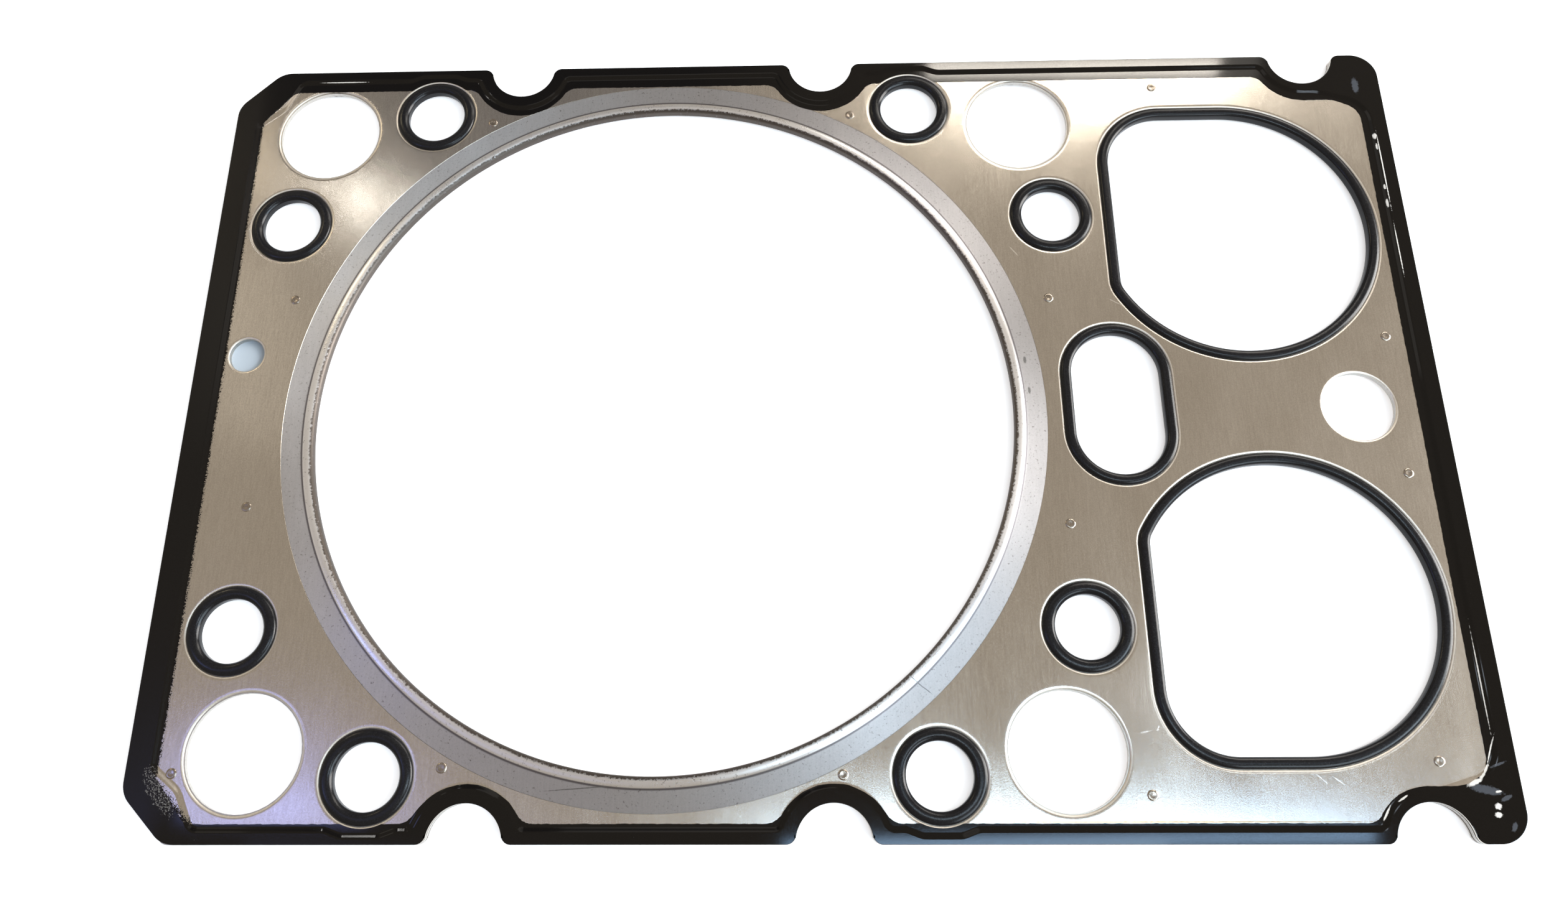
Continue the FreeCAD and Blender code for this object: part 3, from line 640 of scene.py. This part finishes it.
def mark_ring(material):
    """The roll with a painted highlight, painted shade at its foot, and its pitted wall inside the
    bore.
    """
    nodes, links, shader, place = opened(material)
    colour = shader.inputs["Base Color"]
    radius = from_axis(nodes, links, place)
    # Painted highlight: the roll's crest is painted lighter, and made smoother.
    crest = off_radius(nodes, links, radius, ROLL_CREST)
    roll = remap(nodes, links, crest, 0.8 * MM, 0.5 * MM)
    painted(nodes, links, colour, roll, (0.86, 0.86, 0.88))
    roughened(nodes, links, shader, roll, -0.16)
    # Painted shade: a dark line in the crease at the roll's foot.
    foot = remap(nodes, links, off_radius(nodes, links, radius, ROLL_FOOT), 0.26 * MM, 0.08 * MM)
    painted(nodes, links, colour, foot, (0.17, 0.16, 0.17))
    speck = noise(nodes, links, place, (2600, 2600, 2600), 4.0, 0.65)
    wall = remap(nodes, links, radius, 64.78 * MM, 64.25 * MM, 0.0, 0.38)
    pits = remap(nodes, links, sums(nodes, links, "ADD", speck, wall), 0.60, 0.74)
    painted(nodes, links, colour, pits, (0.11, 0.095, 0.085))
    scratches = scuff_and_highlight_places(nodes, links, place, RING_SCRATCHES)
    painted(nodes, links, colour, scratches, (0.2, 0.2, 0.2))


def rubber(name, colour, roughness, grain, relief, shine):
    material, nodes, links, shader, place = new_finish(name)
    speck = noise(nodes, links, place, (grain, grain, grain), 4.0, 0.6)
    pale = tuple(part * 1.6 + 0.001 for part in colour)
    shade = remap(nodes, links, speck, 0.35, 0.7)
    links.new(mixed(nodes, links, shade, colour, pale), shader.inputs["Base Color"])
    links.new(
        remap(nodes, links, speck, 0.3, 0.7, roughness * 0.7, roughness * 1.3),
        shader.inputs["Roughness"],
    )
    shader.inputs["Specular IOR Level"].default_value = shine
    bump(nodes, links, shader, speck, relief, 0.00003)
    return material


def mark_print(material):
    """The printed rubber's matt left band, frayed lower left corner, dust, worn lines and painted
    highlights.
    """
    nodes, links, shader, place = opened(material)
    colour = shader.inputs["Base Color"]
    leftwards = distance_along(nodes, links, place, (-1, 0, 0))
    roughened(nodes, links, shader, remap(nodes, links, leftwards, 80 * MM, 84 * MM), 0.12)
    frayed = scuff_and_highlight_places(nodes, links, place, FRAYED_CORNER)
    fray = sums(nodes, links, "MULTIPLY", frayed, 0.22)
    speck = noise(nodes, links, place, (4600, 4600, 4600), 3.0, 0.65)
    dust = remap(nodes, links, sums(nodes, links, "ADD", speck, fray), 0.76, 0.80)
    painted(nodes, links, colour, dust, (0.13, 0.125, 0.12))
    dull = scuff_and_highlight_places(nodes, links, place, DULL_SCUFFS)
    painted(nodes, links, colour, dull, (0.05, 0.055, 0.065))
    # Pale marks: partly worn print, partly painted highlights on the bead's slope and the print's
    # edge.
    bright = scuff_and_highlight_places(nodes, links, place, BRIGHT_SCUFFS_AND_HIGHLIGHTS)
    painted(nodes, links, colour, bright, (0.62, 0.60, 0.57))


# Scratches, scuffs and painted highlights on the upper face: x, y, half length, half width, turn in
# degrees.
MARK_HEIGHT, MARK_DEPTH = 0.85, 0.6
SHEET_SCRATCHES = [
    (66.2, 31.8, 1.5, 0.13, -52),
    (84.2, 21.0, 1.5, 0.14, -30),
    (109.2, -64.6, 1.5, 0.13, -42),
    (111.9, -64.9, 1.2, 0.12, -38),
    (81.6, -57.1, 1.1, 0.20, 12),
    (83.7, -56.6, 0.6, 0.22, 60),
]
# A painted highlight along the raised inner edge of the print by the near edge.
GOLDEN_EDGE_HIGHLIGHTS = [(86.0, -71.2, 38.0, 0.14, 0)]
FRAYED_CORNER = [(-81.8, -66.2, 6.0, 2.1, -54)]
RING_SCRATCHES = [
    (44.5, -49.0, 1.9, 0.12, -42),
    (46.0, -50.2, 1.2, 0.10, -40),
    (-12.0, -65.9, 6.5, 0.10, 4),
    (66.6, 9.5, 0.9, 0.35, 92),
    (67.0, 3.5, 0.8, 0.30, 90),
]
# Wear, and painted highlights along the bead's slope and the print's inner edge at the right and
# lower right.
BRIGHT_SCUFFS_AND_HIGHLIGHTS = [
    (-67.0, 72.3, 5.2, 0.09, 0),
    (138.3, 48.5, 9.0, 0.13, 90),
    (137.9, 55.8, 0.7, 0.45, 90),
    (137.9, 53.4, 0.8, 0.20, 90),
    (137.9, 44.5, 0.6, 0.22, 90),
    (137.8, 41.0, 1.0, 0.25, 90),
    (138.2, 31.0, 6.0, 0.12, 90),
    (137.5, -49.0, 9.0, 0.11, 90),
    (136.9, -60.2, 2.6, 0.13, 68),
    (135.2, -63.6, 1.9, 0.30, 52),
    (133.3, -65.2, 1.6, 0.42, 24),
    (136.35, -68.9, 0.62, 0.55, 0),
    (136.15, -70.2, 0.62, 0.48, 0),
    (136.8, -66.6, 0.6, 0.20, 8),
    (118.6, -70.0, 1.6, 0.18, 58),
    (121.6, -67.6, 1.2, 0.16, 32),
]
DULL_SCUFFS = [
    (134.9, -66.3, 3.0, 0.75, -12),
    (137.9, -67.6, 1.1, 0.40, 25),
    (138.3, -72.0, 0.9, 0.45, 60),
    (137.6, -62.4, 1.5, 0.22, 20),
    (136.0, 67.5, 1.9, 0.75, 90),
]

ROLLING = rolling_marks()
SCUFF_AND_HIGHLIGHT_GROUP = scuff_and_highlight_mark()
COVER_STEEL = rolled_steel(
    "rolled_cover_steel", (0.55, 0.505, 0.45), (0.71, 0.665, 0.60), 0.15, 0.19, 0.30
)
mark_cover(COVER_STEEL)
CARRIER_STEEL = sheet_steel("carrier_steel", (0.42, 0.40, 0.37), (0.55, 0.53, 0.50), 0.38, 0.5, 0.3)
RING_STEEL = turned_steel("bore_ring_steel", (0.42, 0.415, 0.43), (0.50, 0.495, 0.51))
mark_ring(RING_STEEL)
WIRE_STEEL = sheet_steel("wire_steel", (0.5, 0.5, 0.5), (0.6, 0.6, 0.6), 0.3, 0.4, 0.2)
RIVET_STEEL = sheet_steel("rivet_steel", (0.28, 0.24, 0.20), (0.42, 0.37, 0.32), 0.2, 0.28, 0.1)
PRINT_RUBBER = rubber("printed_edge_rubber", (0.0014, 0.0010, 0.0008), 0.055, 6000, 0.015, 0.32)
mark_print(PRINT_RUBBER)
SEAL_RUBBER = rubber("moulded_seal_rubber", (0.004, 0.004, 0.005), 0.22, 4000, 0.08, 0.26)


# Pieces. A section is a list of (distance outwards from the outline, height).
SHEET_EDGE = ((-0.4, 0.90), (-0.12, 0.90), (-0.03, 0.88), (0, 0.82), (0, 0.65))
PRINT_EDGE = ((-0.3, 0.96), (-0.10, 0.96), (-0.04, 0.95), (-0.02, 0.905))
BORE_RIM = ((0.3, 0.65), (0.02, 0.65), (0, 0.63), (0, 0.40))
HOLE_RIM = ((0.75, 0.65), (0.45, 0.65), (0.24, 0.63), (0.09, 0.58), (0, 0.50), (0, 0.40))
UNDER_PRINT = 0.005
BARE_RIM = 0.3


def stamped_rings(bm, lift, border=()):
    """Rings of edges across the half-bead, from the flat sheet inside it to its raised border."""
    section = [(-0.78, COVER_TOP + lift)]
    half_run, steps = 0.55, 7
    for step in range(steps + 1):
        share = step / steps
        smooth = share * share * (3 - 2 * share)
        rise = BEAD_RISE * smooth + lift
        section.append((-half_run + 2 * half_run * share, COVER_TOP + rise))
    section += [(shift, BORDER_TOP + lift) for shift in border]
    return swept(bm, lambda shift: rounded(bead_corners(), shift), section)


def round_hole(centre, radius, count):
    return lambda shift: circle(centre, radius + shift, count)


def hole_outlines(upper_side):
    """Each opening of a cover sheet, the bore first, as a function of how far it is moved out."""
    holes = [round_hole((0, 0), FLANGE_OPENING, 256)]
    holes += [round_hole(middle_of(name), RING_HOLE, 72) for name in RING_SEALS]
    for x in (-BOLT[0], BOLT[0]):
        for y in (-BOLT[1], BOLT[1]):
            holes.append(round_hole((x, y), BOLT_HOLE, 96))
    holes.append(round_hole(SIDE_HOLE, SIDE_HOLE_RADIUS, 72))
    if upper_side:
        holes.append(round_hole(OIL_HOLE, OIL_HOLE_RADIUS, 48))
    holes.append(slot_points)
    holes.append(lambda shift: window_points(1, shift))
    holes.append(lambda shift: window_points(-1, shift))
    return holes


def cover_sheet(side, name, node):
    """A thin sheet with its stamped half-bead, raised border and rolled hole edges."""
    bm = bmesh.new()
    top = stamped_rings(bm, 0, (0.7,))
    under = stamped_rings(bm, -COVER_SHEET)
    edge = swept(bm, plate_outline, SHEET_EDGE)
    skin(bm, top)
    skin(bm, under)
    skin(bm, edge)
    flat_fill(bm, [top[-1], edge[0]])
    flat_fill(bm, [under[-1], edge[-1]])
    upper_edges, lower_edges = [top[0]], [under[0]]
    rim = BORE_RIM
    for outline in hole_outlines(side > 0):
        rings = swept(bm, outline, rim)
        skin(bm, rings)
        upper_edges.append(rings[0])
        lower_edges.append(rings[-1])
        rim = HOLE_RIM
    flat_fill(bm, upper_edges)
    flat_fill(bm, lower_edges)
    bmesh.ops.scale(bm, vec=(1, 1, side), verts=bm.verts)
    finish_piece(bm, name, node, COVER_STEEL, 30)


def printed_edge(side, name, node):
    """The rubber printed over the raised border, cut to its own slightly ragged inner edge."""
    bm = bmesh.new()
    top = stamped_rings(bm, COATING)
    under = stamped_rings(bm, UNDER_PRINT)
    edge = swept(bm, plate_outline, PRINT_EDGE)
    skin(bm, top)
    skin(bm, under)
    skin(bm, edge)
    flat_fill(bm, [top[-1], edge[0]])
    flat_fill(bm, [under[-1], edge[-1]])
    flat_fill(bm, [top[0]])
    flat_fill(bm, [under[0]])
    ragged = random.Random(4)
    tear = 0.05
    inner = [
        (x + ragged.uniform(-tear, tear), y + ragged.uniform(-tear, tear))
        for x, y in rounded(print_corners(), 0, 0.5)
    ]
    cutters = [prism(inner)]
    for seal in RING_SEALS:
        x, y = middle_of(seal)
        if abs(y) > EDGE_SEALS_FROM:
            cutters.append(prism(circle((x, y), RING_HOLE + BARE_RIM, 72)))
    bm = cut_with(name, bm, cutters)
    bmesh.ops.scale(bm, vec=(1, 1, side), verts=bm.verts)
    finish_piece(bm, name, node, PRINT_RUBBER, 4)


def prism(points):
    """An upright block through both faces of the gasket, to cut with."""
    bm = bmesh.new()
    rings = [loop(bm, points, -3), loop(bm, points, 3)]
    skin(bm, rings)
    flat_fill(bm, [rings[0]])
    flat_fill(bm, [rings[1]])
    return bm


def bore_ring():
    """Folded steel eyelet: a roll over its wire and a flat flange on each side."""
    upper = [
        (69.85, 0.40), (69.85, 0.64), (69.84, 0.65), (66.45, 0.65), (66.15, 0.67),
        (65.95, 0.74), (65.80, 0.84), (65.55, 0.92), (65.20, 0.96), (64.80, 0.96),
        (64.45, 0.90), (64.18, 0.76), (64.05, 0.58), (64.00, 0.36),
    ]
    inner = [(64.25, 0.50), (64.45, 0.71), (65.45, 0.71), (65.65, 0.50), (65.65, 0.40)]
    section = upper + [(r, -z) for r, z in reversed(upper)]
    section += [(r, -z) for r, z in reversed(inner)] + inner
    bm = turned(section, 360)
    finish_piece(bm, "folded_bore_ring", "fire_ring", RING_STEEL, 35)


def ring_seal(node):
    """A moulded ring keyed on the carrier, with a rounded lip above and below."""
    x, y = middle_of(node)
    upper = [
        (7.25, 0.40), (7.80, 0.40), (7.80, 0.62), (7.72, 0.78), (7.50, 0.93), (7.20, 1.04),
        (6.85, 1.09), (6.55, 1.10), (6.25, 1.06), (6.00, 0.96), (5.85, 0.82), (5.72, 0.70),
        (5.62, 0.58), (5.60, 0.45),
    ]
    section = upper + [(r, -z) for r, z in reversed(upper)]
    bm = turned(section, 96)
    bmesh.ops.translate(bm, vec=(x * MM, y * MM, 0), verts=bm.verts)
    finish_piece(bm, node + "_moulding", node, SEAL_RUBBER, 40)


def opening_seal(node, outline):
    """A moulded band round an opening, keyed on the carrier's edge."""
    bm = bmesh.new()
    upper = [
        (-0.60, 0.42), (-0.05, 0.42), (-0.06, 0.62), (-0.16, 0.82), (-0.36, 0.98), (-0.66, 1.08),
        (-1.00, 1.10), (-1.38, 1.07), (-1.70, 0.96), (-1.92, 0.78), (-2.03, 0.56), (-2.05, 0.30),
    ]
    section = upper + [(shift, -z) for shift, z in reversed(upper)]
    rings = swept(bm, outline, section)
    skin(bm, rings + rings[:1])
    finish_piece(bm, node + "_moulding", node, SEAL_RUBBER, 40)


def rivet_places():
    """Centre and radius of each rivet, from the separate solids of its CAD node."""
    bm = bmesh.new()
    bm.from_mesh(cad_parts["layer_rivets"].data)
    bmesh.ops.remove_doubles(bm, verts=bm.verts, dist=1e-6)
    places = []
    waiting = set(bm.verts)
    while waiting:
        island = [waiting.pop()]
        for vert in island:
            for edge in vert.link_edges:
                other = edge.other_vert(vert)
                if other in waiting:
                    waiting.remove(other)
                    island.append(other)
        low = Vector([min(vert.co[axis] for vert in island) for axis in range(3)]) / MM
        high = Vector([max(vert.co[axis] for vert in island) for axis in range(3)]) / MM
        places.append(((low + high) / 2, (high.x - low.x) / 2))
    bm.free()
    return places


def rivets():
    """Small button rivets through the layers, slightly dished in the middle."""
    bm = bmesh.new()
    for centre, radius in rivet_places():
        upper = [
            (0, 0.745), (radius * 0.3, 0.755), (radius * 0.55, 0.79), (radius * 0.75, 0.795),
            (radius * 0.93, 0.75), (radius, 0.70), (radius, 0.65), (radius * 0.6, 0.65),
        ]
        section = upper + [(r, -z) for r, z in reversed(upper)]
        x, y = centre.x * MM, centre.y * MM
        verts = [bm.verts.new((x + r * MM, y, z * MM)) for r, z in section]
        edges = [bm.edges.new(pair) for pair in zip(verts, verts[1:])]
        bmesh.ops.spin(
            bm, geom=verts + edges, cent=(x, y, 0), axis=(0, 0, 1), angle=2 * math.pi,
            steps=24, use_merge=True,
        )
    finish_piece(bm, "rivet_heads", "layer_rivets", RIVET_STEEL, 40)


def dress_node(name, material):
    """Keep a CAD node and give it its finish."""
    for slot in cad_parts[name].material_slots:
        slot.material = material


cover_sheet(1, "top_cover_stamping", "top_cover_sheet")
cover_sheet(-1, "bottom_cover_stamping", "bottom_cover_sheet")
printed_edge(1, "top_edge_print", "top_edge_coating")
printed_edge(-1, "bottom_edge_print", "bottom_edge_coating")
bore_ring()
for seal in RING_SEALS:
    ring_seal(seal)
opening_seal("slot_seal", slot_points)
opening_seal("upper_window_seal", lambda shift: window_points(1, shift))
opening_seal("lower_window_seal", lambda shift: window_points(-1, shift))
rivets()
dress_node("carrier_plate", CARRIER_STEEL)
dress_node("fire_ring_wire", WIRE_STEEL)


# Floor, camera and light.

CAMERA = (24.01, -69.04, 187.73)
LAMP_HEIGHT, WINDOW_HEIGHT, WALL_HEIGHT = 1200.0, 800.0, 500.0


def white_floor():
    """White paper under the gasket, which also glows a little for whoever sees it."""
    bm = bmesh.new()
    bmesh.ops.create_grid(bm, x_segments=1, y_segments=1, size=1.5)
    bmesh.ops.translate(bm, vec=(0, 0, cad_box[0][2]), verts=bm.verts)
    mesh = bpy.data.meshes.new("white_floor")
    bm.to_mesh(mesh)
    bm.free()
    floor = bpy.data.objects.new("white_floor", mesh)
    bpy.context.scene.collection.objects.link(floor)
    material, nodes, links, shader = new_finish("white_paper")[:4]
    shader.inputs["Base Color"].default_value = (0.84, 0.86, 0.90, 1)
    shader.inputs["Roughness"].default_value = 0.9
    shader.inputs["Emission Color"].default_value = (1, 1, 1, 1)
    rays = nodes.new("ShaderNodeLightPath").outputs
    seen = sums(nodes, links, "ADD", rays["Is Camera Ray"], rays["Is Glossy Ray"])
    seen = sums(nodes, links, "ADD", seen, rays["Is Transmission Ray"])
    glow = sums(nodes, links, "MULTIPLY", seen, 0.46)
    links.new(glow, shader.inputs["Emission Strength"])
    mesh.materials.append(material)


def soft_lamp(name, spot, size, energy, colour, height=LAMP_HEIGHT):
    """An area lamp whose mirror image falls on a spot of the sheet, turned to face the gasket."""
    data = bpy.data.lights.new(name, "AREA")
    data.shape = "RECTANGLE"
    data.size, data.size_y = size
    data.energy = energy
    data.color = colour
    lamp = bpy.data.objects.new(name, data)
    reach = height / CAMERA[2]
    x, y = (at + (at - eye) * reach for at, eye in zip(spot, CAMERA))
    lamp.location = Vector((x, y, height)) * MM
    back = lamp.location.normalized()
    up = back.cross(Vector((1, 0, 0))).normalized()
    lamp.rotation_euler = Matrix((up.cross(back), up, back)).transposed().to_euler()
    bpy.context.scene.collection.objects.link(lamp)


def room_light():
    """A beige room with one dim corner, which the sheet mirrors beyond the bore."""
    world = bpy.data.worlds.new("beige_room")
    world.use_nodes = True
    nodes, links = world.node_tree.nodes, world.node_tree.links
    sky = nodes["Background"]
    toward = nodes.new("ShaderNodeTexCoord").outputs["Generated"]
    corner = Vector((-56, 140, CAMERA[2])).normalized()
    dim = remap(nodes, links, distance_along(nodes, links, toward, corner), 0.970, 0.988)
    beige, dusk = (0.46, 0.405, 0.335), (0.20, 0.19, 0.19)
    links.new(mixed(nodes, links, dim, beige, dusk), sky.inputs["Color"])
    sky.inputs["Strength"].default_value = 0.95
    bpy.context.scene.world = world


def look_down():
    """The photograph's view, from over the near edge and tilted towards the far one."""
    data = bpy.data.cameras.new("overhead_camera")
    data.sensor_width = 36.0
    data.lens = 25.087
    data.shift_x = 0.0101
    data.clip_start = 0.01
    camera = bpy.data.objects.new("overhead_camera", data)
    camera.location = Vector(CAMERA) * MM
    camera.rotation_mode = "YXZ"
    camera.rotation_euler = (math.radians(17.871), math.radians(1.523), math.radians(-0.538))
    bpy.context.scene.collection.objects.link(camera)
    bpy.context.scene.camera = camera


white_floor()
room_light()
look_down()

# Warm windows beyond the far edge: a haze, a strip in the print and a broad pane.
soft_lamp("warm_sky", (97, 70), (0.28, 0.09), 0.145, (1.0, 0.95, 0.86))
soft_lamp("warm_strip", (80, 73.3), (0.42, 0.022), 1.0, (1.0, 0.93, 0.82))
soft_lamp("top_window", (76, 132), (0.32, 0.22), 1.5, (1.0, 0.96, 0.90))

# The bright patch by the upper left bolt hole, and light from the left.
soft_lamp("warm_glint", (-59, 44), (0.035, 0.05), 0.092, (1.0, 0.98, 0.94))
soft_lamp("warm_side", (-140, 80), (0.30, 0.18), 1.6, (1.0, 0.84, 0.56))
soft_lamp("left_haze", (-81, 14), (0.06, 0.25), 0.03, (1.0, 0.94, 0.82))

# Violet light on the lower left corner, the ring and the print beside it.
soft_lamp("violet_glint", (-62, -69.2), (0.21, 0.034), 0.085, (0.32, 0.40, 1.0))
soft_lamp("violet_hole", (-69, -60), (0.07, 0.07), 0.04, (0.35, 0.42, 1.0))
soft_lamp("violet_side", (-120, -84), (0.30, 0.18), 0.8, (0.30, 0.40, 1.0))
soft_lamp("violet_haze", (-38, -92), (0.40, 0.25), 0.17, (0.40, 0.50, 1.0))

# Cool light along the near edge, and from the right of it.
soft_lamp("cool_strip", (66, -74.2), (0.68, 0.014), 0.53, (0.42, 0.67, 1.0))
soft_lamp("cool_haze", (54, -84), (0.42, 0.125), 1.85, (0.72, 0.89, 1.0))
soft_lamp("cool_side", (210, -112), (0.40, 0.40), 5.5, (0.68, 0.86, 1.0), WINDOW_HEIGHT)

# Faint light from above.
soft_lamp("overhead_blue", (102, -50), (0.17, 0.03), 0.10, (0.75, 0.87, 1.0))
soft_lamp("overhead_warm", (8, 18), (0.40, 0.30), 0.2, (1.0, 0.96, 0.90))

# Large windows round the gasket, which light its ring, beads and rims.
soft_lamp("right_window", (430, 0), (1.6, 1.2), 95, (1.0, 0.99, 0.97), WINDOW_HEIGHT)
soft_lamp("warm_window", (175, 150), (0.60, 0.45), 6.3, (1.0, 0.95, 0.88), WINDOW_HEIGHT)
soft_lamp("cool_window", (165, -190), (0.65, 0.55), 6.7, (0.74, 0.89, 1.0), WINDOW_HEIGHT)
soft_lamp("left_wall", (-330, 0), (0.8, 1.2), 0.4, (1.0, 0.96, 0.90), WALL_HEIGHT)

bpy.context.scene.view_settings.view_transform = "Standard"
